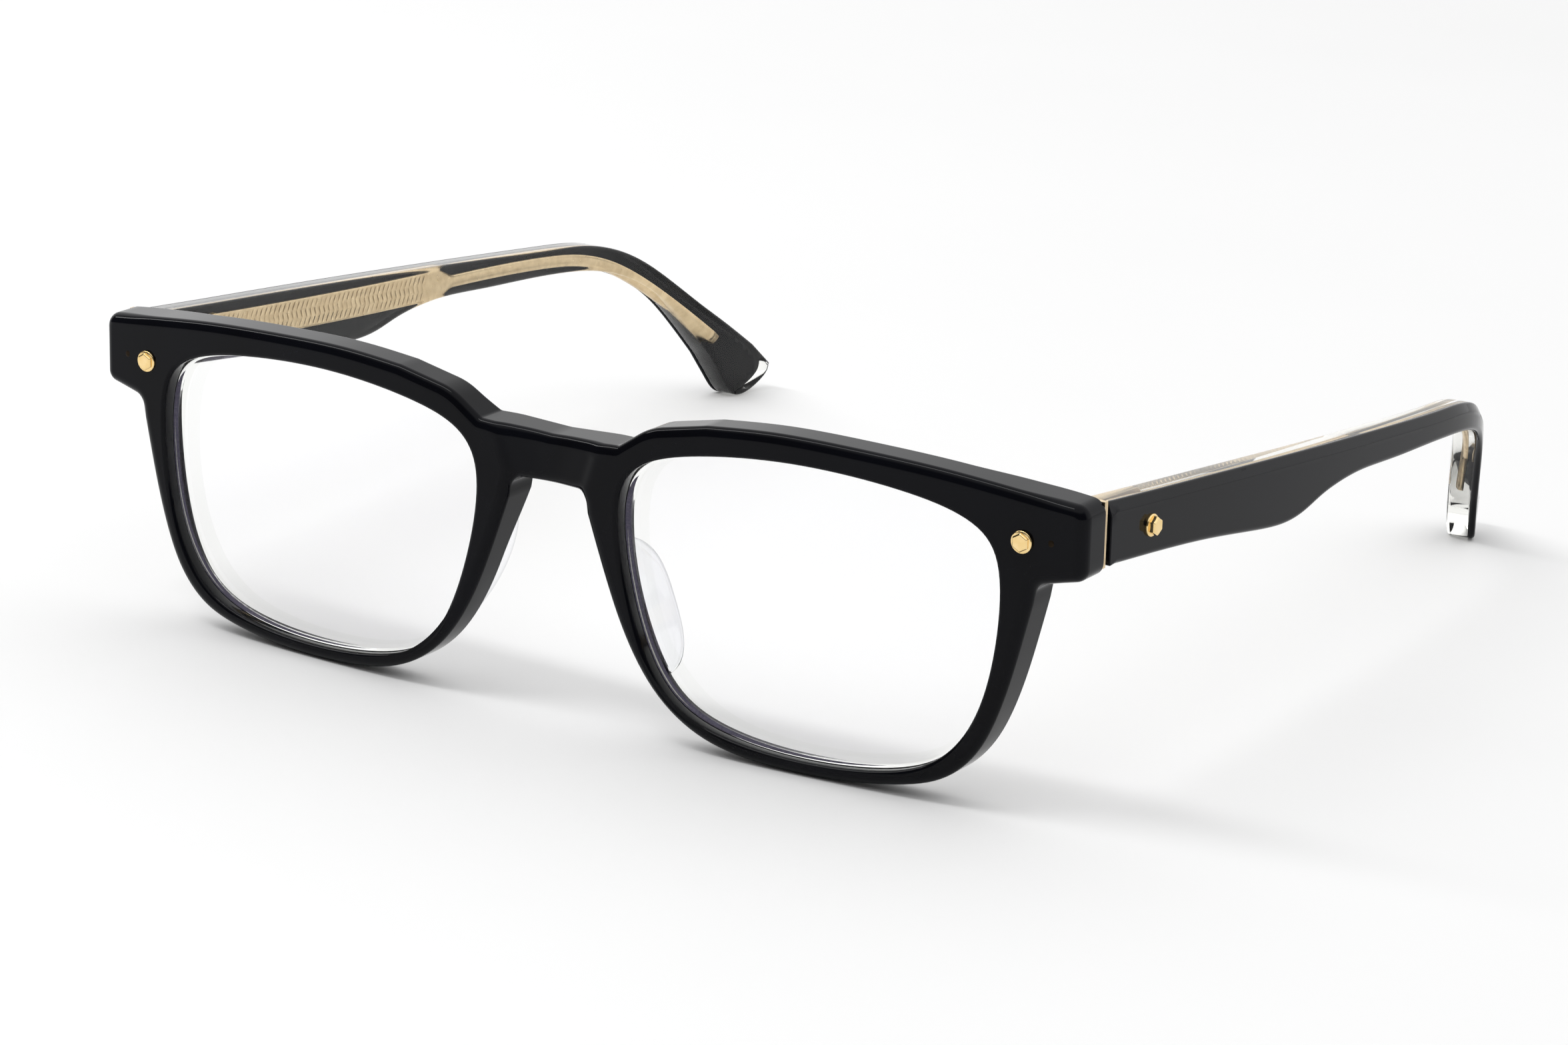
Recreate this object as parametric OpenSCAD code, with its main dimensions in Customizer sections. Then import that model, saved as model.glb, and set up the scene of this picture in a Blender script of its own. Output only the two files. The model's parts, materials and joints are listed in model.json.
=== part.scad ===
// Full-rim eyeglasses with riveted hex studs, layered temples and five-barrel hinges.
// The front is worked out in its own axes: x = 0 in the middle of the bridge, y = 0 at
// its foremost face, z = 0 at the height of the rivets. stand() then moves it onto its base.
// "left" is the wearer's left, on the +X side.

/* [Front] */
// Half width of the front over the endpieces
front_half_w = 70.5; // [70.3:0.1:70.7]
// Radius of the bow of the front, seen from above
front_bow_r = 650; // [600:10:900]
// Thickness of the rims
rim_t = 4.6; // [4.2:0.1:4.8]
// Distance from the foremost face to the back of the endpieces
endpiece_back = 8.5; // [8.4:0.1:8.6]
// Distance from the foremost face to the back of the bridge
bridge_back = 5.8; // [5.2:0.1:6.4]
// Depth of the dished face of the bridge
bridge_dish = 0.9; // [0.4:0.1:1.2]

/* [Lenses] */
// Width of a lens opening
lens_w = 50.2; // [50:0.1:50.3]
// Height of a lens opening
lens_h = 35.5; // [35.3:0.1:35.6]
// Distance between the two lens openings
lens_gap = 20.4; // [20.2:0.1:20.6]
// Centre thickness of a lens
lens_t = 2.0; // [1.6:0.1:2.2]
// Radius of the front surface of a lens
lens_r = 180; // [170:5:260]
// How far a lens edge enters its groove
groove_depth = 0.6; // [0.4:0.1:0.7]

/* [Temples] */
// Thickness of a temple
temple_t = 4.0; // [3.9:0.1:4.1]
// Thickness of the dark outer layer of a temple
skin_t = 1.0; // [0.8:0.1:1.2]
// Thickness of the metal core
core_t = 0.8; // [0.6:0.1:0.9]
// Height of the wide, engraved part of the core
core_plate_h = 4.0; // [3.6:0.1:4.2]
// Height of the narrow part of the core
core_wire_h = 1.7; // [1.4:0.1:2]
// Gap between a temple's end and the metal end plate
butt_gap = 0.5; // [0.4:0.1:0.6]

/* [Hinges] */
// Radius of the hinge barrels
barrel_r = 1.3; // [1.2:0.05:1.35]
// Radius of the screw's shank
screw_r = 0.7; // [0.65:0.01:0.72]
// Radial clearance of the shank in the barrels
screw_fit = 0.04; // [0.02:0.01:0.06]
// Height of one barrel
barrel_h = 1.1; // [1.0:0.1:1.1]
// Thickness of the metal end plate
end_plate_t = 0.7; // [0.6:0.1:0.8]

/* [Rivets] */
// Radius across the corners of the hexagonal head
rivet_hex_r = 1.13; // [1.0:0.01:1.2]
// Radius of the round flange under the head
rivet_flange_r = 1.35; // [1.3:0.01:1.4]
// Radius of the rivet's shank
rivet_shank_r = 0.6; // [0.5:0.05:0.65]
// Height of flange and head together
rivet_proud = 1.2; // [1.0:0.1:1.3]

/* [Hidden] */
$fn = 48;

bow_fn = 720;
slack = 0.02;
smooth_steps = 6;
// The part leans back by this angle, so that it rests on both rims and both temple tips.
rest_lean = 0.64;
overall_depth = 136.17;
base_z = -33.067;

// Lens opening: knots around its middle, from the nose side over the top.
eye_knots = [[-25.1, 7.6], [-22.7, 13.6], [-15.1, 16.4], [-2, 17.75], [12, 17.0],
    [21.3, 14.6], [24.9, 8.6], [24.0, -3.4], [20.2, -12.0], [13.0, -16.4],
    [0.5, -17.75], [-11.3, -16.5], [-18.9, -12.1], [-23.3, -2.7]];
eye_size = [50.2, 35.5];
eye_z = -13.6;

// Upper edge of a rim, from the shoulder beside the bridge to the endpiece.
brow_knots = [[22, 6.75], [31, 7.4], [41, 7.3], [52, 6.75], [62, 5.75]];
// Outer edge of a rim, from under the endpiece round the bottom to the nose.
rim_knots = [[64.1, -7.5], [63.0, -12.2], [61.6, -17.6], [59.8, -22.8], [57.4, -27.0],
    [53.6, -30.2], [48.2, -31.9], [41.5, -32.8], [34.5, -33.0], [27, -32.5],
    [20.6, -30.6], [15.3, -26.6], [11.4, -20.9], [8.8, -15.1], [6.9, -10], [5.7, -6.6]];

// Side view of a temple as y and z: upper edge from hinge to tip, tip, lower edge back.
temple_top = [[22, 3.05], [40, 1.3], [60, -0.7], [80, -2.7], [96, -4.3], [105, -5.3],
    [112, -7.3], [118, -11.0], [124, -16.2], [129, -20.4], [133.6, -24.2]];
temple_tip = [[136.6, -27.4], [136.0, -29.1], [133.6, -30.9], [131.3, -31.6],
    [129.8, -30.9], [128.6, -29.0]];
temple_bottom = [[126.3, -24.9], [123, -20.2], [119.6, -16.0], [116, -13.0],
    [112, -10.9], [106, -9.2], [98, -8.2], [90, -7.6], [82, -7.1], [74, -6.5],
    [68, -6.45], [62, -7.0], [57, -8.0], [52, -8.3], [45, -7.5], [33, -5.65], [20, -4.15]];
// Plan view of a temple's outer face as y and x.
temple_bow = [[8, 70.55], [25, 71.0], [45, 71.5], [65, 71.75], [85, 71.6], [98, 71.2],
    [107, 70.4], [114, 68.8], [121, 66.1], [129, 62.4], [137, 59.2], [144, 57.0]];
// Side view of the core's middle line as y and z.
core_line = [[12, 0.4], [28, -1.2], [48, -3.0], [66, -4.3], [82, -5.2], [95, -6.2],
    [104, -7.4], [112, -10.1], [120, -15.6], [128.5, -23.2]];
core_plate_end = 71;
core_taper = 4;

// Nose pad: edges of its foot as x and z, and its side view as y and z.
pad_nose_edge = [[7.0, -8.5], [8.3, -13], [10.0, -17.5], [12.4, -22], [15.2, -26]];
pad_lens_edge = [[10.2, -8.5], [11.1, -13], [12.4, -17.5], [14.4, -22], [16.4, -25]];
pad_front = 4.9;
pad_reach = 10.2;
pad_middle_z = -17.4;
pad_arc_r = 12;

// Hinge places.
axis_x = 64.9;
axis_y = 9.9;
barrels = 5;
barrel_gap = 0.05;
leaf_t = 0.9;
front_rivet_x = 63.0;
front_leaf_x = [60.5, 65.7];
front_leaf_half_h = 2.7;
pin_at = [66.4, 0.3];
pin_r = 0.45;
pin_front_y = 3.55;
temple_leaf_x = 66.65;
temple_rivet_at = [18.7, -0.4];
temple_rivet_seat = 70.75;
seat_fit = 0.03;
end_plate_x = [66.5, 70.3];
end_plate_z = [-3.2, 4.6];
stack_bottom = -barrels * barrel_h / 2;
temple_start = endpiece_back + end_plate_t + butt_gap;

// ---- curves ----

function wrapped(i, n) = (i % n + n) % n;
// Knot i of a closed or an open row; an open row is carried on in a straight line.
function knot(p, i, closed) = closed ? p[wrapped(i, len(p))]
    : i < 0 ? 2 * p[0] - p[1]
    : i >= len(p) ? 2 * p[len(p) - 1] - p[len(p) - 2]
    : p[i];
// Moves the control points q until the cubic curve passes through the knots p.
function settled(p, q, closed, turns) = turns == 0 ? q
    : settled(p, [for (i = [0 : len(p) - 1]) q[i] + p[i]
        - (knot(q, i - 1, closed) + 4 * q[i] + knot(q, i + 1, closed)) / 6],
        closed, turns - 1);
function cubic(q, i, t, closed) = (pow(1 - t, 3) * knot(q, i - 1, closed)
    + (3 * pow(t, 3) - 6 * t * t + 4) * knot(q, i, closed)
    + (1 + 3 * t + 3 * t * t - 3 * pow(t, 3)) * knot(q, i + 1, closed)
    + pow(t, 3) * knot(q, i + 2, closed)) / 6;
// Smooth closed curve through the knots, with steps pieces between neighbours.
function ring(p, steps = smooth_steps) = let (q = settled(p, p, true, 8))
    [for (i = [0 : len(p) - 1], j = [0 : steps - 1]) cubic(q, i, j / steps, true)];
// Smooth open curve through the knots.
function bend(p, steps = smooth_steps) = let (q = settled(p, p, false, 8))
    [for (i = [0 : len(p) - 2], j = [0 : steps - 1]) cubic(q, i, j / steps, false),
        p[len(p) - 1]];
function unit(v) = v / norm(v);
// A closed curve moved outwards by d; its points run clockwise.
function grown(p, d) = [for (i = [0 : len(p) - 1])
    let (along = unit(p[wrapped(i + 1, len(p))] - p[wrapped(i - 1, len(p))]))
    p[i] + d * [-along[1], along[0]]];
// An open curve moved to its left by d.
function shifted(p, d) = [for (i = [0 : len(p) - 1])
    let (along = unit(p[min(i + 1, len(p) - 1)] - p[max(i - 1, 0)]))
    p[i] + d * [-along[1], along[0]]];
function reversed(p) = [for (i = [len(p) - 1 : -1 : 0]) p[i]];
function swapped(p) = [for (q = p) [q[1], q[0]]];
// Arc of radius r that rounds the corner b between a and c.
function corner(a, b, c, r, steps = 7) = let (
    u = unit(a - b),
    v = unit(c - b),
    half = acos(u * v) / 2,
    middle = b + unit(u + v) * r / sin(half),
    from = b + u * r / tan(half) - middle,
    to = b + v * r / tan(half) - middle,
    start = atan2(from[1], from[0]),
    turn = (atan2(to[1], to[0]) - start + 540) % 360 - 180)
    [for (j = [0 : steps]) middle + r * [cos(start + turn * j / steps), sin(start + turn * j / steps)]];

// ---- placing ----

module stand() {
    translate([0, -overall_depth / 2, -base_z])
        rotate([-rest_lean, 0, 0])
            children();
}
module on_side(left) {
    if (left)
        children();
    else
        mirror([1, 0, 0])
            children();
}
// A flat shape in x and z, extruded from y0 to y1.
module through_y(y0, y1) {
    translate([0, y1, 0])
        rotate([90, 0, 0])
            linear_extrude(y1 - y0)
                children();
}
// A flat shape in y and z, extruded from x0 to x1.
module through_x(x0, x1) {
    translate([x0, 0, 0])
        rotate([90, 0, 90])
            linear_extrude(x1 - x0)
                children();
}

// ---- front ----

eye_x = (lens_gap + lens_w) / 2;
eye = [for (p = ring(eye_knots)) [p[0] * lens_w / eye_size[0], p[1] * lens_h / eye_size[1]]];
bridge_top = 1.85;
bridge_low = -4.1;
shoulder_foot = [9.9, 2.3];
shoulder_crest = [14.2, 5.2];
endpiece_high = [front_half_w, 4.85];
endpiece_low = [front_half_w, -3.75];
endpiece_root = [64.5, -5.05];
brow = bend(brow_knots);
rim = bend(rim_knots, 5);
half_front = concat(
    [[0, bridge_top]],
    corner([0, bridge_top], shoulder_foot, shoulder_crest, 1.2),
    corner(shoulder_foot, shoulder_crest, brow[0], 9),
    brow,
    corner(brow_knots[4], endpiece_high, endpiece_low, 1.8),
    corner(endpiece_high, endpiece_low, endpiece_root, 1.3),
    corner(endpiece_low, endpiece_root, rim_knots[0], 1.6),
    rim,
    corner(rim_knots[15], [5.4, bridge_low], [0, bridge_low], 1.7),
    [[0, bridge_low]]);
front_outline = concat(half_front, reversed([for (i = [1 : len(half_front) - 2])
    [-half_front[i][0], half_front[i][1]]]));

module bow_cylinder(r) {
    translate([0, front_bow_r, -50])
        cylinder(r = r, h = 80, $fn = bow_fn);
}
// Clear space behind the rims, left out at the endpieces and at the bridge.
module behind_rims() {
    hinge_land_x = 61;
    bridge_half = 8;
    difference() {
        bow_cylinder(front_bow_r - rim_t);
        for (left = [true, false])
            on_side(left)
                translate([hinge_land_x, -1, -60])
                    cube([90, 20, 100]);
        translate([-bridge_half, -1, -bridge_half])
            cube([2 * bridge_half, bridge_back + 1, 20]);
    }
}
// A shell between two spheres that follows the front's bow at one lens.
module lens_shell(clearance) {
    tilt = asin(eye_x / front_bow_r);
    apex_depth = 0.55;
    reach = front_bow_r - apex_depth - lens_r;
    translate([sin(tilt) * reach, front_bow_r - cos(tilt) * reach, eye_z])
        difference() {
            sphere(r = lens_r + clearance, $fn = bow_fn / 2);
            sphere(r = lens_r - lens_t - clearance, $fn = bow_fn / 2);
        }
}
// Keeps the near half of a thin sphere.
module near_half() {
    translate([0, -1, -60])
        cube([80, 14, 100]);
}
module lens(clearance = 0) {
    intersection() {
        translate([eye_x, 0, eye_z])
            through_y(-1, 9)
                polygon(grown(eye, groove_depth + clearance));
        near_half();
        lens_shell(clearance);
    }
}

module front_frame() {
    dish_r = 27;
    color([0.02, 0.02, 0.035])
        stand()
            difference() {
                intersection() {
                    through_y(-1, endpiece_back)
                        polygon(front_outline);
                    bow_cylinder(front_bow_r);
                }
                behind_rims();
                translate([0, bridge_dish - dish_r, -10])
                    cylinder(r = dish_r, h = 20, $fn = bow_fn / 2);
                for (left = [true, false])
                    on_side(left) {
                        translate([eye_x, 0, eye_z])
                            through_y(-2, 12)
                                polygon(eye);
                        lens(0.04);
                        front_leaf_pocket();
                        rivet_bore();
                        pin_bore();
                    }
            }
}
module lens_part(left) {
    color([0.93, 0.94, 0.97, 0.3])
        stand()
            on_side(left)
                lens();
}
module nose_pad(left) {
    color([0.9, 0.92, 0.93, 0.5])
        stand()
            on_side(left)
                intersection() {
                    through_y(pad_front, pad_reach + 1)
                        polygon(concat(bend(pad_nose_edge, 4), reversed(bend(pad_lens_edge, 4))));
                    translate([0, pad_reach - pad_arc_r, pad_middle_z])
                        rotate([0, 90, 0])
                            cylinder(r = pad_arc_r, h = 30, $fn = 96);
                }
}

// ---- metal on the front ----

front_rivet_y = 3.1;
leaf_front_y = endpiece_back - 0.2 - leaf_t;

module front_leaf_pocket() {
    pocket_fit = 0.1;
    width = front_leaf_x[1] - front_leaf_x[0];
    translate([front_leaf_x[0] - pocket_fit, leaf_front_y - slack, -front_leaf_half_h - pocket_fit])
        cube([width + 2 * pocket_fit, 4, 2 * (front_leaf_half_h + pocket_fit)]);
}
module rivet_bore() {
    translate([front_rivet_x, -1, 0])
        rotate([-90, 0, 0]) {
            cylinder(r = rivet_shank_r + slack, h = 12);
            cylinder(r = rivet_flange_r + seat_fit, h = 1 + front_rivet_y);
        }
}
module pin_bore() {
    translate([pin_at[0], 0, pin_at[1]])
        rotate([-90, 0, 0])
            cylinder(r = pin_r + slack, h = 12);
}
// Hexagonal head on a round flange, standing along +Z, with its shank below z = 0.
module rivet(shank) {
    flange_h = 0.4;
    cylinder(r = rivet_flange_r, h = flange_h);
    translate([0, 0, flange_h])
        cylinder(r = rivet_hex_r, h = rivet_proud - flange_h, $fn = 6);
    translate([0, 0, -shank])
        cylinder(r = rivet_shank_r, h = shank + flange_h / 2);
}
module front_rivet(left) {
    color([0.85, 0.65, 0.35])
        stand()
            on_side(left)
                translate([front_rivet_x, front_rivet_y, 0])
                    rotate([90, 30, 0])
                        rivet(leaf_front_y + leaf_t - front_rivet_y);
}
module end_plate(left) {
    color([0.85, 0.68, 0.42])
        stand()
            on_side(left)
                difference() {
                    translate([end_plate_x[0], endpiece_back, end_plate_z[0]])
                        cube([end_plate_x[1] - end_plate_x[0], end_plate_t,
                            end_plate_z[1] - end_plate_z[0]]);
                    pin_bore();
                }
}
module plate_pin(left) {
    color([0.55, 0.4, 0.22])
        stand()
            on_side(left)
                translate([pin_at[0], pin_front_y, pin_at[1]])
                    rotate([-90, 0, 0])
                        cylinder(r = pin_r, h = endpiece_back + end_plate_t - pin_front_y);
}

// ---- hinges ----

module barrel(i, reach) {
    translate([axis_x, axis_y, stack_bottom + i * barrel_h])
        difference() {
            union() {
                cylinder(r = barrel_r, h = barrel_h - barrel_gap);
                translate([reach[0], reach[1], 0])
                    cube([reach[2], reach[3], barrel_h - barrel_gap]);
            }
            translate([0, 0, -1])
                cylinder(r = screw_r + screw_fit, h = barrel_h + 2);
        }
}
module hinge_front_leaf(left) {
    web = leaf_front_y + leaf_t / 2 - axis_y;
    color([0.83, 0.66, 0.4])
        stand()
            on_side(left)
                difference() {
                    union() {
                        translate([front_leaf_x[0], leaf_front_y, -front_leaf_half_h])
                            cube([front_leaf_x[1] - front_leaf_x[0], leaf_t, 2 * front_leaf_half_h]);
                        for (i = [0 : 2 : barrels - 1])
                            barrel(i, [-0.6, web, 1.2, -web - 0.9]);
                    }
                    translate([front_rivet_x, 0, 0])
                        rotate([-90, 0, 0])
                            cylinder(r = rivet_shank_r + slack, h = 12);
                }
}
module hinge_screw(left) {
    head_r = 1.15;
    head_h = 0.45;
    stack_top = -stack_bottom - barrel_gap;
    color([0.8, 0.62, 0.36])
        stand()
            on_side(left)
                translate([axis_x, axis_y, 0])
                    difference() {
                        union() {
                            translate([0, 0, stack_bottom - 0.2])
                                cylinder(r = screw_r, h = stack_top - stack_bottom + 0.4);
                            translate([0, 0, stack_top])
                                cylinder(r = head_r, h = head_h);
                        }
                        translate([-2, -0.15, stack_top + head_h - 0.2])
                            cube([4, 0.3, 1]);
                    }
}
temple_leaf_box = [[temple_leaf_x, temple_start + 0.1, -1.9], [leaf_t, 11.3, 3.8]];
// Clear space for the leaf, open towards the head and towards the front.
module temple_leaf_pocket() {
    open_x = 6;
    open_y = 5;
    translate(temple_leaf_box[0] - [open_x, open_y, slack])
        cube(temple_leaf_box[1] + [open_x + slack, open_y + slack, 2 * slack]);
}
module temple_rivet_bore() {
    translate([60, temple_rivet_at[0], temple_rivet_at[1]])
        rotate([0, 90, 0])
            cylinder(r = rivet_shank_r + slack, h = 20);
}
module hinge_temple_leaf(left) {
    color([0.83, 0.66, 0.4])
        stand()
            on_side(left)
                difference() {
                    union() {
                        translate(temple_leaf_box[0])
                            cube(temple_leaf_box[1]);
                        for (i = [1 : 2 : barrels - 1])
                            barrel(i, [0.9, -0.1, 1.2, 1.1]);
                    }
                    temple_rivet_bore();
                }
}

// ---- temples ----

temple_profile = concat([[temple_start, 4.3]], bend(temple_top, 5), bend(temple_tip, 3),
    bend(temple_bottom, 5), [[temple_start, -3.15]]);
temple_face = bend(temple_bow, 4);
core_curve = bend(core_line, 5);
function core_half(y) = y < core_plate_end ? core_plate_h / 2
    : max(core_wire_h, core_plate_h - (core_plate_h - core_wire_h) * (y - core_plate_end)
        / core_taper) / 2;
// One edge of the core's outline: side is 1 above and -1 below its middle line.
function core_edge(side, extra) = [for (i = [0 : len(core_curve) - 1])
    let (along = unit(core_curve[min(i + 1, len(core_curve) - 1)] - core_curve[max(i - 1, 0)]))
    core_curve[i] + side * (core_half(core_curve[i][0]) + extra) * [-along[1], along[0]]];

// The part of a temple between two distances behind its outer face.
module temple_slab(near, far) {
    intersection() {
        through_x(45, 80)
            polygon(temple_profile);
        translate([0, 0, -40])
            linear_extrude(60)
                polygon(concat(swapped(shifted(temple_face, -near)),
                    reversed(swapped(shifted(temple_face, -far)))));
    }
}
module core_shape(extra) {
    core_offset = 0.3;
    middle = (temple_t + skin_t) / 2 - core_offset;
    intersection() {
        through_x(45, 80)
            polygon(concat(core_edge(1, extra), reversed(core_edge(-1, extra))));
        translate([0, 0, -40])
            linear_extrude(60)
                polygon(concat(swapped(shifted(temple_face, -middle + core_t / 2 + extra)),
                    reversed(swapped(shifted(temple_face, -middle - core_t / 2 - extra)))));
    }
}
module core_wire(left) {
    color([0.84, 0.69, 0.45])
        stand()
            on_side(left)
                difference() {
                    core_shape(0);
                    temple_rivet_bore();
                }
}
module temple_inner(left) {
    color([0.85, 0.87, 0.88, 0.5])
        stand()
            on_side(left)
                difference() {
                    temple_slab(skin_t, temple_t);
                    core_shape(slack);
                    temple_leaf_pocket();
                    temple_rivet_bore();
                }
}
module temple_outer(left) {
    color([0.02, 0.02, 0.035])
        stand()
            on_side(left)
                difference() {
                    temple_slab(0, skin_t);
                    temple_rivet_bore();
                    translate([temple_rivet_seat, temple_rivet_at[0], temple_rivet_at[1]])
                        rotate([0, 90, 0])
                            cylinder(r = rivet_flange_r + seat_fit, h = 3);
                }
}
module temple_rivet(left) {
    color([0.85, 0.65, 0.35])
        stand()
            on_side(left)
                translate([temple_rivet_seat, temple_rivet_at[0], temple_rivet_at[1]])
                    rotate([0, 90, 0])
                        rivet(temple_rivet_seat - temple_leaf_box[0][0]);
}

front_frame();
lens_part(true);  // lens_left
lens_part(false);  // lens_right
nose_pad(true);  // nose_pad_left
nose_pad(false);  // nose_pad_right
end_plate(true);  // end_plate_left
end_plate(false);  // end_plate_right
plate_pin(true);  // plate_pin_left
plate_pin(false);  // plate_pin_right
front_rivet(true);  // front_rivet_left
front_rivet(false);  // front_rivet_right
hinge_front_leaf(true);  // hinge_front_leaf_left
hinge_front_leaf(false);  // hinge_front_leaf_right
hinge_screw(true);  // hinge_screw_left
hinge_screw(false);  // hinge_screw_right
hinge_temple_leaf(true);  // hinge_temple_leaf_left
hinge_temple_leaf(false);  // hinge_temple_leaf_right
temple_rivet(true);  // temple_rivet_left
temple_rivet(false);  // temple_rivet_right
core_wire(true);  // core_wire_left
core_wire(false);  // core_wire_right
temple_inner(true);  // temple_inner_left
temple_inner(false);  // temple_inner_right
temple_outer(true);  // temple_outer_left
temple_outer(false);  // temple_outer_right
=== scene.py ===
"""Full-rim eyeglasses: polished black front, layered temples with an engraved metal core.

Shapes are worked out in the design's own axes, in millimetres: x = 0 in the middle of the
bridge, y = 0 at the foremost face and growing towards the ears, z = 0 at the rivets. STAND
takes them to the frame's metres. Each side piece is shaped on the +X side and mirrored.
"""
import json
import math

import bmesh
import bpy
import numpy as np
from mathutils import Matrix, Vector
from mathutils.geometry import delaunay_2d_cdt


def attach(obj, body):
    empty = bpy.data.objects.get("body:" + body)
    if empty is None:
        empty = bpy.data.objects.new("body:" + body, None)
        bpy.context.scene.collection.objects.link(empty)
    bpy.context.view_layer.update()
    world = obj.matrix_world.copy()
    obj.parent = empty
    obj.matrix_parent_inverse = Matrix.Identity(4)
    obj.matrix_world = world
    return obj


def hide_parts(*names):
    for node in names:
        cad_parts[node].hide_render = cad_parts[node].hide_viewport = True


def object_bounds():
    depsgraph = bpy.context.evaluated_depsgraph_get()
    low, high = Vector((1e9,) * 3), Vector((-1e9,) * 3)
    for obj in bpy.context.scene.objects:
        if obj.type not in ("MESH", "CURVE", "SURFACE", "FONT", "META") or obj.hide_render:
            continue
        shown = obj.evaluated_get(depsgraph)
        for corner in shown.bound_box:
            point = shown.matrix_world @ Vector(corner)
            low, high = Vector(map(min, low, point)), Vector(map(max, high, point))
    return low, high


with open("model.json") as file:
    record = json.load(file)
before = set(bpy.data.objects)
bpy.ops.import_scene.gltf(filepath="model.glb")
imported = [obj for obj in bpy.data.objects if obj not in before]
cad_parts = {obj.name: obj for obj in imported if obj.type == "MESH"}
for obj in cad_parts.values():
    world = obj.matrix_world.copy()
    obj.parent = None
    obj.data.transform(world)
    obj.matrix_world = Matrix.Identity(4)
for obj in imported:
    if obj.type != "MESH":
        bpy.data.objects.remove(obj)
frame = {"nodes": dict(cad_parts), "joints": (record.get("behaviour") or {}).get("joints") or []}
cad_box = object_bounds()

SIDES = {"left": 1, "right": -1}

# Hinge axis in design axes; the fold joint of the frame says where it stands and leans.
AXIS_X, AXIS_Y = 64.9, 9.9
FOLD = next(j for j in frame["joints"] if j["name"] == "fold_left")
LEAN = Matrix.Rotation(-math.atan2(FOLD["axis"][1], FOLD["axis"][2]), 4, "X")
MM = Matrix.Scale(0.001, 4)
HINGE = Vector(FOLD["pos_m"]) - LEAN @ MM @ Vector((AXIS_X, AXIS_Y, 0))
STAND = Matrix.Translation(HINGE) @ LEAN @ MM

# Driving dimensions. The outlines and main sizes are the CAD's; the front rivets stand less
# proud, and small radii, the lens edges and the pads' upper ends differ a little.

# ---- front ----

HALF_W = 70.5
BOW_R = 650
RIM_T = 4.6
ENDPIECE_BACK = 8.5
BRIDGE_BACK = 5.8
BRIDGE_DISH = 0.9
BRIDGE_TOP, BRIDGE_LOW, BRIDGE_LOW_X = 1.85, -4.1, 5.4
SHOULDER_FOOT, SHOULDER_CREST = (9.9, 2.3), (14.2, 5.2)
ENDPIECE_HIGH, ENDPIECE_LOW, ENDPIECE_ROOT = 4.85, -3.75, (64.5, -5.05)
FOOT_R, CREST_R, HIGH_R, LOW_R, ROOT_R, NOSE_R = 1.0, 9, 1.8, 1.6, 1.6, 1.7

# The step at each end of the bridge: where it starts, how it leans and how it falls.
STEP_X, STEP_Z, STEP_LEAN = 7.9, 1.7, 0.32
STEP_SHARE, STEP_RUN, DISH_RUN = 0.4, 1.8, 6

# The back: the thick part round the bridge, the end plate's seat and the hinge leaf's land.
THICK_X, THICK_X_RUN, THICK_Z, THICK_Z_RUN = 13.5, 7, -16, 12
SEAT_X, SEAT_RUN = 54, 13
LAND_X, LAND_HALF_H, LAND_RUN = 59.6, 3.9, 0.9
POCKET_X, POCKET_HALF_H, POCKET_DEPTH = (60.4, 65.8), 2.8, 0.6

# ---- lenses, pads and small metal ----

EYE_X, EYE_Z = 35.3, -13.6
LENS_T = 1.9
LENS_R = 180
LENS_BACK_R = 150
LENS_APEX = 0.55
GROOVE = 0.55
LENS_EDGE = 0.5
PAD_FOOT, PAD_RIDGE, PAD_LEAN = 4.3, 10.1, 0.2
FRONT_RIVET, FRONT_PROUD = (63.0, 3.1, 0.0), 0.75
TEMPLE_RIVET, TEMPLE_PROUD = (70.75, 18.7, -0.4), 1.1
RIVET_HEX_R, RIVET_FLANGE_R, FLANGE_H, SHANK_R, SHANK_L = 1.13, 1.35, 0.4, 0.6, 2.6
PIN_X, PIN_Y, PIN_Z, PIN_R, PIN_L = 66.4, 3.37, 0.3, 0.43, 5.7

# ---- temples ----

TEMPLE_START, TEMPLE_HIGH, TEMPLE_LOW, START_R = 9.7, 4.3, -3.15, 0.35
TEMPLE_T = 4.0
SKIN_T = 1.0
OVERLAP = 0.08
BEVEL_W, BEVEL_H, BEVEL_END, BEVEL_FADE = 1.2, 0.7, 126, 14
TIP_START, TIP_RUN, TIP_TAPER = 127, 9, 0.5
CORE_T = 0.8
CORE_DEPTH = 2.2
PLATE_END, PLATE_TAPER, PLATE_HALF, WIRE_HALF = 71, 4, 2.0, 0.85
WIRE_CROWN, WIRE_DROP, WIRE_END, WIRE_END_L = 0.3, 0.24, 127.6, 0.95

# ---- outlines: (x, z) on the front, (y, z) on the temples, (y, x) for the temple's bow ----

EYE_KNOTS = [
    (-25.1, 7.6), (-22.7, 13.6), (-15.1, 16.4), (-2, 17.75), (12, 17.0), (21.3, 14.6),
    (24.9, 8.6), (24.0, -3.4), (20.2, -12.0), (13.0, -16.4), (0.5, -17.75),
    (-11.3, -16.5), (-18.9, -12.1), (-23.3, -2.7)]
BROW_KNOTS = [(22, 6.75), (31, 7.4), (41, 7.3), (52, 6.75), (62, 5.75)]
RIM_KNOTS = [
    (64.1, -7.5), (63.0, -12.2), (61.6, -17.6), (59.8, -22.8), (57.4, -27.0),
    (53.6, -30.2), (48.2, -31.9), (41.5, -32.8), (34.5, -33.0), (27, -32.5),
    (20.6, -30.6), (15.3, -26.6), (11.4, -20.9), (8.8, -15.1), (6.9, -10), (5.7, -6.6)]
TEMPLE_TOP = [
    (22, 3.05), (40, 1.3), (60, -0.7), (80, -2.7), (96, -4.3), (105, -5.3),
    (112, -7.3), (118, -11.0), (124, -16.2), (129, -20.4), (133.6, -24.2)]
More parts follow.
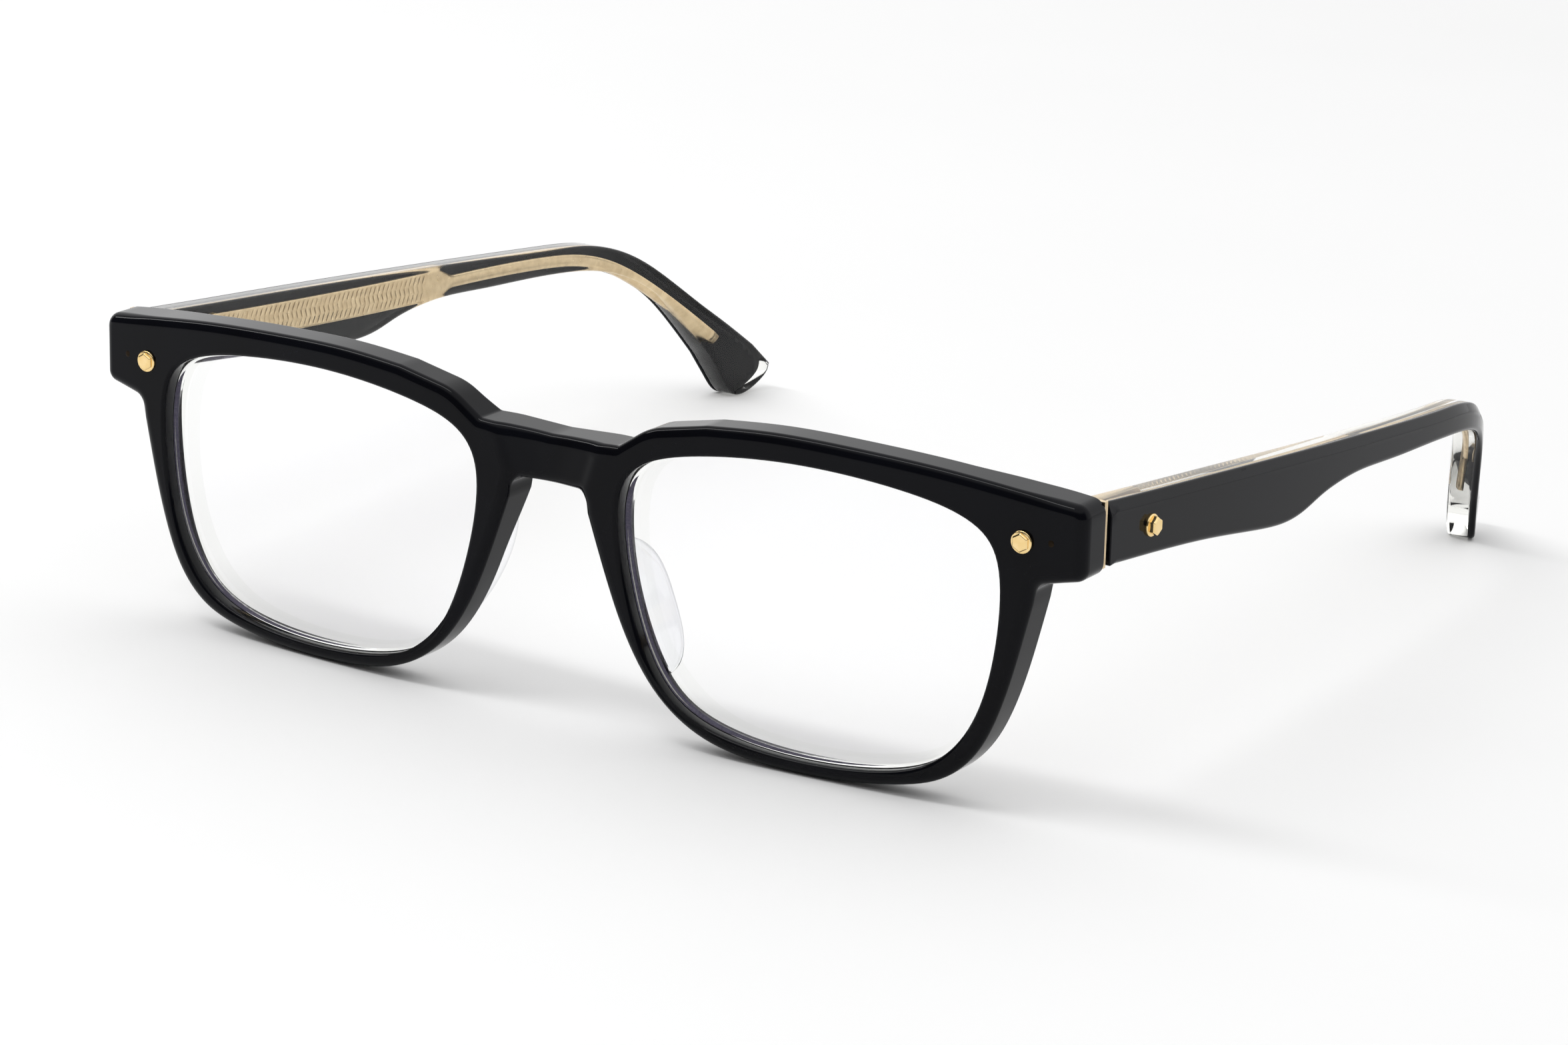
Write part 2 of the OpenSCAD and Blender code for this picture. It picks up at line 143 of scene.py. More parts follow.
TEMPLE_TIP = [
    (136.6, -27.4), (136.0, -29.1), (133.6, -30.9), (131.3, -31.6), (129.8, -30.9),
    (128.6, -29.0)]
TEMPLE_BOTTOM = [
    (126.3, -24.9), (123, -20.2), (119.6, -16.0), (116, -13.0), (112, -10.9),
    (106, -9.2), (98, -8.2), (90, -7.6), (82, -7.1), (74, -6.5), (68, -6.45),
    (62, -7.0), (57, -8.0), (52, -8.3), (45, -7.5), (33, -5.65), (20, -4.15)]
TEMPLE_BOW = [
    (8, 70.55), (25, 71.0), (45, 71.5), (65, 71.75), (85, 71.6), (98, 71.2),
    (107, 70.4), (114, 68.8), (121, 66.1), (129, 62.4), (137, 59.2), (144, 57.0)]
CORE_LINE = [
    (12, 0.4), (28, -1.2), (48, -3.0), (66, -4.3), (82, -5.2), (95, -6.2),
    (104, -7.4), (112, -10.1), (120, -15.6), (128.5, -23.2)]
PAD_NOSE_EDGE = [(7.2, -9.5), (8.3, -13), (10.0, -17.5), (12.4, -22), (15.2, -26)]
PAD_LENS_EDGE = [(10.3, -9.5), (11.1, -13), (12.4, -17.5), (14.4, -22), (16.4, -25)]


# ---- curves ----

def knot(p, i, closed):
    """Point i of a curve, carried on straight past the ends of an open one."""
    if closed:
        return p[i % len(p)]
    if i < 0:
        return 2 * p[0] - p[1]
    if i >= len(p):
        return 2 * p[-1] - p[-2]
    return p[i]


def settled(p, closed, turns=8):
    """Control points of the cubic curve that passes through the knots p."""
    q = p.copy()
    for _ in range(turns):
        q = np.array([
            q[i] + p[i] - (knot(q, i - 1, closed) + 4 * q[i] + knot(q, i + 1, closed)) / 6
            for i in range(len(p))])
    return q


def cubic(q, i, t, closed):
    """Point at the share t of the way from knot i to the next one."""
    return ((1 - t) ** 3 * knot(q, i - 1, closed)
            + (3 * t ** 3 - 6 * t ** 2 + 4) * knot(q, i, closed)
            + (1 + 3 * t + 3 * t ** 2 - 3 * t ** 3) * knot(q, i + 1, closed)
            + t ** 3 * knot(q, i + 2, closed)) / 6


def ring(points, steps):
    """Smooth closed curve through the points."""
    p = np.array(points, float)
    q = settled(p, True)
    return np.array([cubic(q, i, j / steps, True) for i in range(len(p)) for j in range(steps)])


def bend(points, steps):
    """Smooth open curve through the points."""
    p = np.array(points, float)
    q = settled(p, False)
    rows = [cubic(q, i, j / steps, False) for i in range(len(p) - 1) for j in range(steps)]
    return np.array(rows + [p[-1]])


def unit(v):
    return v / np.linalg.norm(v)


def corner(a, b, c, r, steps=8):
    """Arc of radius r that rounds the corner b between a and c."""
    a, b, c = (np.array(v, float) for v in (a, b, c))
    u, v = unit(a - b), unit(c - b)
    half = math.acos(float(u @ v)) / 2
    middle = b + unit(u + v) * r / math.sin(half)
    start_arm = b + u * r / math.tan(half) - middle
    end_arm = b + v * r / math.tan(half) - middle
    start = math.atan2(start_arm[1], start_arm[0])
    turn = (math.atan2(end_arm[1], end_arm[0]) - start + 3 * math.pi) % (2 * math.pi) - math.pi
    angles = [start + turn * j / steps for j in range(steps + 1)]
    return np.array([middle + r * np.array([math.cos(t), math.sin(t)]) for t in angles])


def spaced(points, step, closed=True):
    """The same line with extra points, so that no piece is longer than step."""
    out = []
    count = len(points) if closed else len(points) - 1
    for i in range(count):
        a, b = points[i], points[(i + 1) % len(points)]
        n = max(1, math.ceil(np.linalg.norm(b - a) / step))
        out += [a + (b - a) * j / n for j in range(n)]
    if not closed:
        out.append(points[-1])
    return np.array(out)


def outward(loop):
    """Unit normals of a closed clockwise curve."""
    along = np.roll(loop, -1, axis=0) - np.roll(loop, 1, axis=0)
    along /= np.linalg.norm(along, axis=1)[:, None]
    return np.stack([-along[:, 1], along[:, 0]], axis=1)


def smooth(t):
    """0 up to t = 0 and 1 from t = 1, with a soft rise between."""
    t = np.clip(t, 0, 1)
    return t * t * (3 - 2 * t)


def inside(points, loop):
    """Which points lie inside a closed loop."""
    x, y = points[:, 0][:, None], points[:, 1][:, None]
    x0, y0 = loop[:, 0], loop[:, 1]
    x1, y1 = np.roll(x0, -1), np.roll(y0, -1)
    rise = np.where(y1 == y0, 1e-12, y1 - y0)
    crossing = ((y0 > y) != (y1 > y)) & (x < (x1 - x0) * (y - y0) / rise + x0)
    return crossing.sum(axis=1) % 2 == 1


# ---- meshes ----

def piece(name, verts, faces, body, materials, replaced, zones=None):
    """A mesh from points in design millimetres, put in its place and on its body. zones
    says which material each face has."""
    mesh = bpy.data.meshes.new(name)
    mesh.from_pydata([STAND @ Vector(v) for v in verts], [], [list(f) for f in faces])
    for material in materials:
        mesh.materials.append(material)
    for i, polygon in enumerate(mesh.polygons):
        polygon.use_smooth = True
        if zones is not None:
            polygon.material_index = zones[i]
    edit = bmesh.new()
    edit.from_mesh(mesh)
    bmesh.ops.recalc_face_normals(edit, faces=edit.faces)
    edit.to_mesh(mesh)
    edit.free()
    obj = bpy.data.objects.new(name, mesh)
    bpy.context.scene.collection.objects.link(obj)
    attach(obj, body)
    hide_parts(*replaced)
    return obj


def band(first, second):
    """Quads between two rows of vertex numbers that close on themselves."""
    n = len(first)
    return [(first[i], first[(i + 1) % n], second[(i + 1) % n], second[i]) for i in range(n)]


def filled(rings, numbers, grid, add):
    """Triangles between closed rings, the first one outermost, with grid points inside.
    numbers holds the rings' vertex numbers, and add makes a vertex and returns its own."""
    coords = np.vstack(rings + [grid])
    edges, start = [], 0
    for loop in rings:
        n = len(loop)
        edges += [(start + i, start + (i + 1) % n) for i in range(n)]
        start += n
    points, _, faces, origins, _, _ = delaunay_2d_cdt(
        [Vector(p) for p in coords], edges, [], 0, 1e-6, True)
    known = [k for row in numbers for k in row]
    index = []
    for point, origin in zip(points, origins):
        ring_points = [o for o in origin if o < len(known)]
        index.append(known[ring_points[0]] if ring_points else add(point))
    centres = np.array([sum((points[i] for i in f), Vector((0, 0))) / len(f) for f in faces])
    keep = inside(centres, rings[0])
    for hole in rings[1:]:
        keep &= ~inside(centres, hole)
    return [tuple(index[i] for i in f) for f, k in zip(faces, keep) if k]


def slab(parts, near, far, grid, place):
    """A closed body between two faces. parts lists (loop, sign, profile): the loop is
    clockwise, sign is 1 for the outside and -1 for a hole, and each profile row is
    (inset, surface, shift), from the near face over the edge to the far face."""
    verts, faces = [], []
    margin = 0.25

    def add(flat, level):
        verts.append(place(flat[0], flat[1], level))
        return len(verts) - 1

    def cap(ends, surface):
        loops = [flat for flat, _ in ends]
        clear = inside(grid, loops[0] - outward(loops[0]) * margin)
        for hole in loops[1:]:
            clear &= ~inside(grid, hole + outward(hole) * margin)

        def add_inside(p):
            return add(p, float(surface(np.array([p[0]]), np.array([p[1]]))[0]))

        return filled(loops, [row for _, row in ends], grid[clear], add_inside)

    first, last = [], []
    for loop, sign, profile in parts:
        normal = outward(loop) * sign
        rows, flats = [], []
        for inset, surface, shift in profile:
            flat = loop - normal * np.broadcast_to(inset, len(loop))[:, None]
            levels = surface(flat[:, 0], flat[:, 1]) + shift
            rows.append([add(f, v) for f, v in zip(flat, levels)])
            flats.append(flat)
        for a, b in zip(rows, rows[1:]):
            faces += band(a, b)
        first.append((flats[0], rows[0]))
        last.append((flats[-1], rows[-1]))
    return verts, faces + cap(first, near) + cap(last, far)


def rounding(surface, width, height, steps=7, into=1):
    """Profile rows of a rounded edge, from the face to the wall; into is 1 at the near
    face and -1 at the far one. A narrow strip at each end keeps the shading of the face
    and of the wall flat."""
    strip = 0.07
    rows = [(width + strip, surface, 0)]
    for j in range(steps + 1):
        angle = (1 - j / steps) * math.pi / 2
        rows.append((width * (1 - math.cos(angle)), surface, into * height * (1 - math.sin(angle))))
    return rows + [(0, surface, into * (height + strip))]


def grid_of(xs, ys):
    """Every pair of a value of xs with a value of ys."""
    return np.array([(x, y) for x in xs for y in ys], float)


def astride(edges, gap):
    """Values just before and just after each edge."""
    return [edge + sign * gap for edge in edges for sign in (-1, 1)]


def lathe(profile, steps):
    """Points and faces of a turned body; profile rows are (radius, height)."""
    verts, faces, rows = [], [], []
    for r, h in profile:
        rows.append(range(len(verts), len(verts) + steps))
        verts += [(r * math.cos(2 * math.pi * i / steps), r * math.sin(2 * math.pi * i / steps), h)
                  for i in range(steps)]
    for a, b in zip(rows, rows[1:]):
        faces += band(a, b)
    return verts, faces + [tuple(rows[0])[::-1], tuple(rows[-1])]


# ---- materials ----

class Nodes:
    """Short names for building one procedural material."""

    def __init__(self, name, **settings):
        self.material = bpy.data.materials.new(name)
        self.material.use_nodes = True
        self.tree = self.material.node_tree
        self.shader = self.tree.nodes["Principled BSDF"]
        for label, value in settings.items():
            self.shader.inputs[label.replace("_", " ")].default_value = value
        self.where = self.tree.nodes.new("ShaderNodeTexCoord").outputs["Object"]

    def link(self, a, b):
        self.tree.links.new(a, b)

    def noise(self, scale, detail=3.0, stretch=(1, 1, 1)):
        """Noise over the object, with scale features to the metre."""
        mapping = self.tree.nodes.new("ShaderNodeMapping")
        mapping.inputs["Scale"].default_value = stretch
        self.link(self.where, mapping.inputs["Vector"])
        node = self.tree.nodes.new("ShaderNodeTexNoise")
        node.inputs["Scale"].default_value = scale
        node.inputs["Detail"].default_value = detail
        self.link(mapping.outputs[0], node.inputs["Vector"])
        return node.outputs["Fac"]

    def ramp(self, value, stops):
        """Colour that runs between stops of (place, colour)."""
        node = self.tree.nodes.new("ShaderNodeValToRGB")
        self.link(value, node.inputs[0])
        while len(node.color_ramp.elements) < len(stops):
            node.color_ramp.elements.new(0.5)
        for element, (place, colour) in zip(node.color_ramp.elements, stops):
            element.position = place
            element.color = (*colour, 1)
        return node.outputs[0]

    def spread(self, value, low, high):
        """Takes 0 to 1 to low to high."""
        node = self.tree.nodes.new("ShaderNodeMapRange")
        node.inputs["To Min"].default_value = low
        node.inputs["To Max"].default_value = high
        self.link(value, node.inputs["Value"])
        return node.outputs[0]

    def mix(self, factor, a, b):
        """Colour a where the factor is 0 and b where it is 1."""
        node = self.tree.nodes.new("ShaderNodeMix")
        node.data_type = "RGBA"
        self.link(factor, node.inputs["Factor"])
        for socket, value in ((node.inputs["A"], a), (node.inputs["B"], b)):
            if isinstance(value, tuple):
                socket.default_value = (*value, 1)
            else:
                self.link(value, socket)
        return node.outputs["Result"]

    def rim(self, low, high):
        """0 where the surface faces the viewer, 1 where it turns away."""
        weight = self.tree.nodes.new("ShaderNodeLayerWeight")
        node = self.tree.nodes.new("ShaderNodeMapRange")
        node.interpolation_type = "SMOOTHSTEP"
        node.inputs["From Min"].default_value = low
        node.inputs["From Max"].default_value = high
        self.link(weight.outputs["Facing"], node.inputs["Value"])
        return node.outputs[0]

    def bump(self, value, strength, distance):
        node = self.tree.nodes.new("ShaderNodeBump")
        node.inputs["Strength"].default_value = strength
        node.inputs["Distance"].default_value = distance
        self.link(value, node.inputs["Height"])
        self.link(node.outputs[0], self.shader.inputs["Normal"])

    def colour(self, value):
        self.link(value, self.shader.inputs["Base Color"])

    def roughness(self, value):
        self.link(value, self.shader.inputs["Roughness"])


def black_acetate():
    """Polished black with a faint blue cloud."""
    m = Nodes("black_acetate", IOR=1.2)
    cloud = m.noise(60, 4)
    m.colour(m.ramp(cloud, [(0.3, (0.0022, 0.0023, 0.0034)), (0.7, (0.0034, 0.0038, 0.0062))]))
    m.roughness(m.spread(m.noise(160, 1), 0.06, 0.10))
    return m.material


def crystal_acetate():
    """Clear and faintly yellow."""
    m = Nodes("crystal_acetate", IOR=1.35, Transmission_Weight=1.0)
    m.colour(m.ramp(m.noise(50, 3), [(0.3, (0.95, 0.95, 0.91)), (0.7, (0.99, 0.99, 0.96))]))
    m.roughness(m.spread(m.noise(160, 1), 0.0, 0.03))
    return m.material


def pad_acetate():
    """Clear, with a painted dark outline where it turns away from the viewer, standing in for the
    black rim seen through its edges.
    """
    m = Nodes("pad_acetate", IOR=1.49, Transmission_Weight=1.0)
    body = m.ramp(m.noise(80, 3), [(0.3, (0.90, 0.91, 0.93)), (0.7, (0.95, 0.95, 0.97))])
    # painted shade: dark grey mixed in at grazing angles stands in for the black rim seen through
    # the pad's edges
    m.colour(m.mix(m.rim(0.78, 0.96), body, (0.10, 0.10, 0.13)))
    m.roughness(m.spread(m.noise(600, 3), 0.03, 0.10))
    return m.material


def metal(name, dark, light, rough, grain=(1, 1, 1)):
    """Finely brushed metal; grain above 1 along an axis makes the brushing finer that way."""
    m = Nodes(name, Metallic=1.0)
    m.colour(m.ramp(m.noise(900, 4, grain), [(0.3, dark), (0.7, light)]))
    m.roughness(m.spread(m.noise(1500, 4, grain), *rough))
    m.bump(m.noise(2600, 3, grain), 0.05, 0.00002)
    return m.material


def lens_glass():
    """Coated clear glass, with a purple tint in what it reflects."""
    m = Nodes("lens_glass", IOR=1.5, Transmission_Weight=1.0,
              Specular_Tint=(0.72, 0.62, 1.0, 1))
    m.colour(m.ramp(m.noise(20, 2), [(0.3, (0.985, 0.985, 0.99)), (0.7, (0.995, 0.995, 1.0))]))
    m.roughness(m.spread(m.noise(300, 2), 0.0, 0.01))
    return m.material


def lens_bevel(name, dark, light):
    """Ground glass in the colours given; with the dark purple-grey pair it carries a painted
    reflection of the black rim wall.
    """
    m = Nodes(name, IOR=1.4)
    speckle = m.noise(5200, 3)
    m.colour(m.ramp(speckle, [(0.3, dark), (0.7, light)]))
    m.roughness(m.spread(speckle, 0.25, 0.5))
    return m.material


def floor_paper():
    """Matt pale paper."""
    m = Nodes("floor_paper")
    m.colour(m.ramp(m.noise(3, 4), [(0.3, (0.86, 0.86, 0.86)), (0.7, (0.90, 0.90, 0.90))]))
    m.roughness(m.spread(m.noise(40, 3), 0.75, 0.9))
    return m.material


# ---- making the front ----

def bow(x, z):
    """Depth of the bowed face, the same at every height."""
    return BOW_R - np.sqrt(BOW_R ** 2 - np.square(x)) + 0 * z


def front_face(x, z):
    """The bowed face, set back over the bridge behind a slanting step."""
    edge = STEP_X + (z - STEP_Z) * STEP_LEAN
    into = edge - np.abs(x)
    dish = STEP_SHARE * smooth(into / STEP_RUN) + (1 - STEP_SHARE) * smooth(into / DISH_RUN)
    return bow(x, z) + BRIDGE_DISH * dish


def front_back(x, z):
    """The back of the rims, thicker at the bridge, round the hinge and at its plate."""
    across = np.abs(x)
    bridge = smooth((THICK_X - across) / THICK_X_RUN) * smooth((z - THICK_Z) / THICK_Z_RUN)
    back = bow(x, z) + RIM_T + (BRIDGE_BACK - RIM_T) * bridge
    land = smooth((across - LAND_X) / LAND_RUN) * smooth((LAND_HALF_H - np.abs(z)) / LAND_RUN)
    seat = smooth((across - SEAT_X) / SEAT_RUN)
    back += (ENDPIECE_BACK - back) * np.maximum(land, seat)
    in_pocket = (across > POCKET_X[0]) & (across < POCKET_X[1]) & (np.abs(z) < POCKET_HALF_H)
    return np.where(in_pocket, ENDPIECE_BACK - POCKET_DEPTH, back)


def lens_surface(depth, radius):
    """Sphere that follows the bow at the lens, its apex at a depth behind the face."""
    tilt = math.asin(EYE_X / BOW_R)
    reach = BOW_R - depth - radius
    cx, cy = math.sin(tilt) * reach, BOW_R - math.cos(tilt) * reach

    def surface(x, z):
        return cy - np.sqrt(radius ** 2 - np.square(np.abs(x) - cx) - np.square(z - EYE_Z))
    return surface


lens_front = lens_surface(LENS_APEX, LENS_R)
lens_back = lens_surface(LENS_APEX + LENS_T, LENS_BACK_R)


def lens_ridge(x, z):
    """Crest of the lens edge, midway between the faces."""
    return (lens_front(x, z) + lens_back(x, z)) / 2


def lens_land(x, z):
    """Midway between the crest and the back face."""
    return (lens_ridge(x, z) + lens_back(x, z)) / 2


def eye_loop(side):
    """Clockwise outline of a lens opening."""
    loop = ring(EYE_KNOTS, 9) + np.array([EYE_X, EYE_Z])
    return loop if side > 0 else (loop * np.array([-1, 1]))[::-1]


def front_loop():
    """Clockwise outline of the front, from the top of the bridge's middle."""
    brow, rim = bend(BROW_KNOTS, 8), bend(RIM_KNOTS, 6)
    top, bottom = (0, BRIDGE_TOP), (0, BRIDGE_LOW)
    high, low = (HALF_W, ENDPIECE_HIGH), (HALF_W, ENDPIECE_LOW)
    half = np.vstack([
        [top],
        corner(top, SHOULDER_FOOT, SHOULDER_CREST, FOOT_R),
        corner(SHOULDER_FOOT, SHOULDER_CREST, brow[0], CREST_R),
        brow,
        corner(BROW_KNOTS[-1], high, low, HIGH_R),
        corner(high, low, ENDPIECE_ROOT, LOW_R),
        corner(low, ENDPIECE_ROOT, rim[0], ROOT_R),
        rim,
        corner(rim[-1], (BRIDGE_LOW_X, BRIDGE_LOW), bottom, NOSE_R),
        [bottom]])
    half = spaced(half, 0.9, closed=False)
    return np.vstack([half, (half * np.array([-1, 1]))[-2:0:-1]])


def front_grid():
    """Points inside the front: close together on the bridge and at the steps behind."""
    fine = np.arange(-10, 10.1, 0.35)
    coarse = np.concatenate([np.arange(11, 59.5, 2.4), np.arange(60, 61.7, 0.3),
                             astride(POCKET_X, 0.08), np.arange(62.2, 70, 1.1)])
    levels = np.concatenate([np.arange(-33, -7, 1.8), np.arange(-6, 6.2, 0.45),
                             astride((-POCKET_HALF_H, POCKET_HALF_H), 0.07)])
    return np.vstack([grid_of(fine, levels), grid_of(coarse, levels), grid_of(-coarse, levels)])


def make_front(material):
    """The front in one piece, with a groove for each lens. Its edge is softest on the
    rims' face and tightest at the back of the endpieces."""
    loop = front_loop()
    end = smooth((np.abs(loop[:, 0]) - 62) / 6)
    soft = 0.4 - 0.3 * end
    outer = (rounding(front_face, 1.4 - 0.1 * end, 0.95 + 0.45 * end, steps=9)
             + rounding(front_back, soft, soft, steps=4, into=-1)[::-1])
    hole = (rounding(front_face, 0.55, 0.5, steps=5)
            + [(0, lens_front, -0.02), (GROOVE, lens_ridge, 0), (0, lens_back, 0.02)]
            + rounding(front_back, 0.35, 0.35, steps=3, into=-1)[::-1])
    parts = [(loop, 1, outer)]
    parts += [(eye_loop(side), -1, hole) for side in SIDES.values()]
    verts, faces = slab(parts, front_face, front_back, front_grid(),
                        lambda x, z, y: (x, y, z))
    piece("front", verts, faces, "front", [material], ["front_frame"])


# ---- making the lenses ----

def make_lens(name, side, materials):
    """A lens with a ground V edge that sits in the rim's groove. The materials are for its two
    faces, for its edge and for the strip of the edge next to the back, which carries a painted
    reflection: dark purple-grey standing in for the black rim wall seen in it."""
    loop = eye_loop(1)
    middle = np.array([EYE_X, EYE_Z])
    shrink = [1, 0.985, 0.95, 0.88, 0.76, 0.6, 0.42, 0.22]
    edge = outward(loop) * LENS_EDGE
    shore = loop - outward(loop) * 0.03
    verts, rows, faces, zones = [], [], [], []

    def row(flat, surface):
        start = len(verts)
        levels = surface(flat[:, 0], flat[:, 1])
        verts.extend((side * x, y, z) for (x, z), y in zip(flat, levels))
        rows.append(range(start, len(verts)))

    for s in reversed(shrink):
        row(middle + (shore - middle) * s, lens_front)
    row(loop + edge, lens_ridge)
    row(loop + edge / 2, lens_land)
    for s in shrink:
        row(middle + (shore - middle) * s, lens_back)
    ridge = len(shrink)
    for i, (a, b) in enumerate(zip(rows, rows[1:])):
        faces += band(a, b)
        # zone 2, the strip next to the back, takes the painted reflection of the black rim wall
        zones += [{ridge - 1: 1, ridge: 1, ridge + 1: 2}.get(i, 0)] * len(a)
    for end, surface in ((rows[0], lens_front), (rows[-1], lens_back)):
        verts.append((side * EYE_X, float(surface(EYE_X, EYE_Z)), EYE_Z))
        centre = len(verts) - 1
        faces += [(end[i], end[(i + 1) % len(end)], centre) for i in range(len(end))]
        zones += [0] * len(end)
    piece(f"lens_piece_{name}", verts, faces, "front", materials,
          [f"lens_{name}"], zones)


# ---- making the nose pads ----

def make_pad(name, side, material):
    """A smooth wedge fused to the back of the rim, highest in the middle."""
    steps, across = 28, 16
    nose, lens = bend(PAD_NOSE_EDGE, 7), bend(PAD_LENS_EDGE, 7)
    verts, rows = [], []
    for i in range(steps + 1):
        t = i / steps
        a, b = nose[round(t * (len(nose) - 1))], lens[round(t * (len(lens) - 1))]
        rise = (PAD_RIDGE - PAD_FOOT) * (1 - abs(2 * t - 1) ** 2.2) ** 0.62
        start = len(verts)
        for j in range(across):
            angle = 2 * math.pi * j / across
            along = (1 - math.cos(angle)) / 2
            lift = max(math.sin(angle), 0) ** 0.8 * rise - max(-math.sin(angle), 0) * 0.3
            x, z = a + (b - a) * along
            verts.append((side * (x + PAD_LEAN * max(lift, 0)), PAD_FOOT + lift, z))
        rows.append(range(start, len(verts)))
    faces = [f for p, q in zip(rows, rows[1:]) for f in band(p, q)]
    faces += [tuple(rows[0]), tuple(rows[-1])]
    obj = piece(f"pad_{name}", verts, faces, "front", [material],
                [f"nose_pad_{name}"])
    obj.modifiers.new("round", "SUBSURF").render_levels = 2


# ---- making the rivets and pins ----

def rivet_shape(proud):
    """Shank, round flange and a hexagonal, chamfered boss, standing along +Z. Returns
    points, faces and how many of the faces are round ones."""
    flange = [(SHANK_R, -SHANK_L), (SHANK_R, -0.05),
              (RIVET_FLANGE_R - 0.06, -0.05), (RIVET_FLANGE_R, 0.02),
              (RIVET_FLANGE_R, FLANGE_H - 0.12), (RIVET_FLANGE_R - 0.04, FLANGE_H - 0.03),
              (RIVET_FLANGE_R - 0.12, FLANGE_H)]
    verts, faces = lathe(flange, 48)
    round_faces = len(faces)
    boss = [(RIVET_HEX_R, FLANGE_H - 0.02), (RIVET_HEX_R, proud - 0.16),
            (RIVET_HEX_R - 0.15, proud)]
    hexagon, sides = lathe(boss, 6)
    turn = Matrix.Rotation(math.radians(30), 3, "Z")
    faces += [tuple(i + len(verts) for i in f) for f in sides]
    return verts + [turn @ Vector(v) for v in hexagon], faces, round_faces


def front_place(side):
    """Sets a rivet in the front, its head forward."""
    x, y, z = FRONT_RIVET
    return lambda a, b, h: (side * (x + a), y - h, z + b)


def temple_place(side):
    """Sets a rivet in a temple, its head outward."""
    x, y, z = TEMPLE_RIVET
    return lambda a, b, h: (side * (x + h), y + a, z + b)


def make_rivet(name, node, body, proud, place, material):
    """A rivet with finely bevelled edges; the faces of its hexagon stay flat."""
    verts, faces, round_faces = rivet_shape(proud)
    obj = piece(name, [place(*v) for v in verts], faces, body, [material],
                [node])
    for i, polygon in enumerate(obj.data.polygons):
        polygon.use_smooth = i < round_faces
    edge = obj.modifiers.new("edge", "BEVEL")
    edge.width, edge.segments, edge.limit_method = 0.00004, 2, "ANGLE"
    edge.angle_limit = math.radians(25)


def make_pin(name, side, material):
    """The plate's anchor pin, its end just showing in the face."""
    profile = [(PIN_R - 0.23, 0), (PIN_R - 0.07, 0.01), (PIN_R, 0.06), (PIN_R, PIN_L)]
    verts, faces = lathe(profile, 24)
    verts = [(side * (PIN_X + a), PIN_Y + h, PIN_Z + b) for a, b, h in verts]
    piece(f"pin_{name}", verts, faces, "front", [material],
          [f"plate_pin_{name}"])


# ---- making the temples ----

BOW_LINE = bend(TEMPLE_BOW, 12)
BOW_SLOPE = np.gradient(BOW_LINE[:, 1], BOW_LINE[:, 0])
TOP_LINE = np.vstack([[(TEMPLE_START, TEMPLE_HIGH)], bend(TEMPLE_TOP, 12)])


def temple_depth(depth):
    """Surface at a depth behind the temple's outer face, over y and z."""
    def surface(y, z):
        outer = np.interp(y, BOW_LINE[:, 0], BOW_LINE[:, 1])
        slope = np.interp(y, BOW_LINE[:, 0], BOW_SLOPE)
        return outer - depth * np.sqrt(1 + slope ** 2) + 0 * z
    return surface


def bevelled_face(y, z):
    """The temple's outer face with the bevel along its upper edge."""
    below = np.interp(y, TOP_LINE[:, 0], TOP_LINE[:, 1]) - z
    cut = np.clip(1 - below / BEVEL_W, 0, 1) * smooth((BEVEL_END - y) / BEVEL_FADE)
    return temple_depth(0)(y, z) - BEVEL_H * cut


def inner_face(y, z):
    """The temple's inner face, drawn in towards the end of its tip."""
    tip = smooth((y - TIP_START) / TIP_RUN)
    return temple_depth(TEMPLE_T)(y, z) + TIP_TAPER * tip


def temple_loop():
    """Clockwise outline of a temple, seen from its outer side."""
    top, tip, bottom = bend(TEMPLE_TOP, 8), bend(TEMPLE_TIP, 8), bend(TEMPLE_BOTTOM, 7)
    high, low = (TEMPLE_START, TEMPLE_HIGH), (TEMPLE_START, TEMPLE_LOW)
    loop = np.vstack([
        corner(low, high, top[0], START_R, 5),
        top, tip, bottom,
        corner(bottom[-1], low, high, START_R, 5)])
    return spaced(loop, 1.4)


def temple_grid():
    """Points inside the temple, in rows along its bevel and evenly below it."""
    rows = [(y, np.interp(y, TOP_LINE[:, 0], TOP_LINE[:, 1]) - below)
            for y in np.arange(TEMPLE_START + 0.4, 128, 0.8)
            for below in (0.5, 0.9, BEVEL_W - 0.08, BEVEL_W, BEVEL_W + 0.08, 1.7)]
    even = grid_of(np.arange(10, 138, 1.1), np.arange(-31, 5, 1.1))
    clear = np.interp(even[:, 0], TOP_LINE[:, 0], TOP_LINE[:, 1]) - even[:, 1] > 2.1
    return np.vstack([rows, even[clear | (even[:, 0] > 128)]])


def make_temple(name, side, black, crystal):
    """The black outer layer and the clear inner one. The black one is rounder below than
    along its top and its front end."""
    loop = temple_loop()
    low = smooth(0.3 - outward(loop)[:, 1] * 1.5) * smooth((loop[:, 0] - TEMPLE_START) / 1.5)
    soft = 0.15 + 0.5 * low
    body = f"temple_{name}"
    seam = temple_depth(SKIN_T)

    def place(y, z, x):
        return side * x, y, z

    skin = rounding(bevelled_face, soft, np.minimum(soft, 0.6), steps=6, into=-1)[:-1]
    verts, faces = slab([(loop, 1, skin + [(0, seam, 0)])], bevelled_face, seam,
                        temple_grid(), place)
    piece(f"temple_skin_{name}", verts, faces, body, [black],
          [f"temple_outer_{name}"])

    clear = ([(0.05, seam, OVERLAP), (0, seam, -0.02)]
             + rounding(inner_face, 0.55, 0.5, steps=5, into=1)[::-1])
    verts, faces = slab([(loop, 1, clear)], temple_depth(SKIN_T - OVERLAP), inner_face,
                        temple_grid(), place)
    piece(f"temple_clear_{name}", verts, faces, body, [crystal],
          [f"temple_inner_{name}"])


# ---- making the metal cores ----

def core_taper(y):
    """0 along the engraved plate and 1 along the wire."""
    return smooth((y - PLATE_END) / PLATE_TAPER)


def core_half(y):
    """Half the width of the core."""
    return PLATE_HALF - (PLATE_HALF - WIRE_HALF) * core_taper(y)


